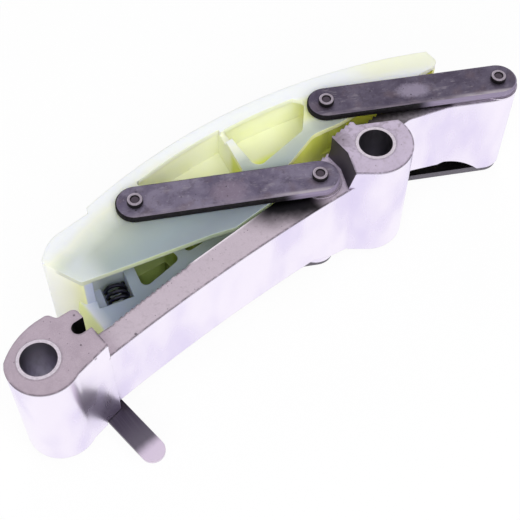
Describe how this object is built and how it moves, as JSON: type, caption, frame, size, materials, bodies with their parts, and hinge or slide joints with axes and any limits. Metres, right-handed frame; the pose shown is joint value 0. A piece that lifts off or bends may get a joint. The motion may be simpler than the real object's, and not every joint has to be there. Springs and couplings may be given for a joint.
{
  "type": "timing chain tensioner",
  "caption": "Timing chain tensioner: sintered steel base with bolt bosses, ribbed nylon shoe on a parallelogram of riveted links, coil spring and flat retaining strip.",
  "frame": {"origin": "axis of the left bolt bore at the bolt head side of its boss", "axes": "+Z along the bolt bores to the engine block, +X from the left bore to the right bore, +Y to the chain"},
  "size_m": [0.1191, 0.0449, 0.0298],
  "materials": {
    "sintered_steel": "sintered steel, matte ends and burnished sides",
    "sleeve_steel": "turned bright",
    "strip_steel": "cold rolled",
    "link_steel": "dark heat-treated, rubbed",
    "pin_steel": "swaged, satin",
    "nylon": "natural nylon, translucent",
    "spring_steel": "oil tempered wire"
  },
  "bodies": {
    "base": {"base": "sintered_steel", "bolt_sleeve_left": "sleeve_steel", "bolt_sleeve_right": "sleeve_steel", "retaining_strip": "strip_steel"},
    "left_links": {"upper_left_link": "link_steel", "lower_left_link": "link_steel", "left_base_pin": "pin_steel", "left_shoe_pin": "pin_steel"},
    "right_links": {"upper_right_link": "link_steel", "lower_right_link": "link_steel", "right_base_pin": "pin_steel", "right_shoe_pin": "pin_steel"},
    "shoe": {"shoe": "nylon", "tension_spring": "spring_steel"}
  },
  "joints": [
    {"name": "left_link_swing", "type": "hinge", "parent": "base", "child": "left_links", "pos_m": [0.0644, 0.002, 0.0103], "axis": [0, 0, -1], "range_deg": [0, 24], "deforming": ["tension_spring"]},
    {"name": "right_link_swing", "type": "hinge", "parent": "base", "child": "right_links", "pos_m": [0.10868, -0.00125, 0.0103], "axis": [0, 0, -1], "range_deg": [0, 24]},
    {"name": "shoe_pivot", "type": "hinge", "parent": "left_links", "child": "shoe", "pos_m": [0.03285, 0.0187, 0.0103], "axis": [0, 0, 1], "range_deg": [0, 24]}
  ],
  "couplings": [
    {"joint": "right_link_swing", "follows": "left_link_swing", "ratio": 1},
    {"joint": "shoe_pivot", "follows": "left_link_swing", "ratio": 1}
  ]
}
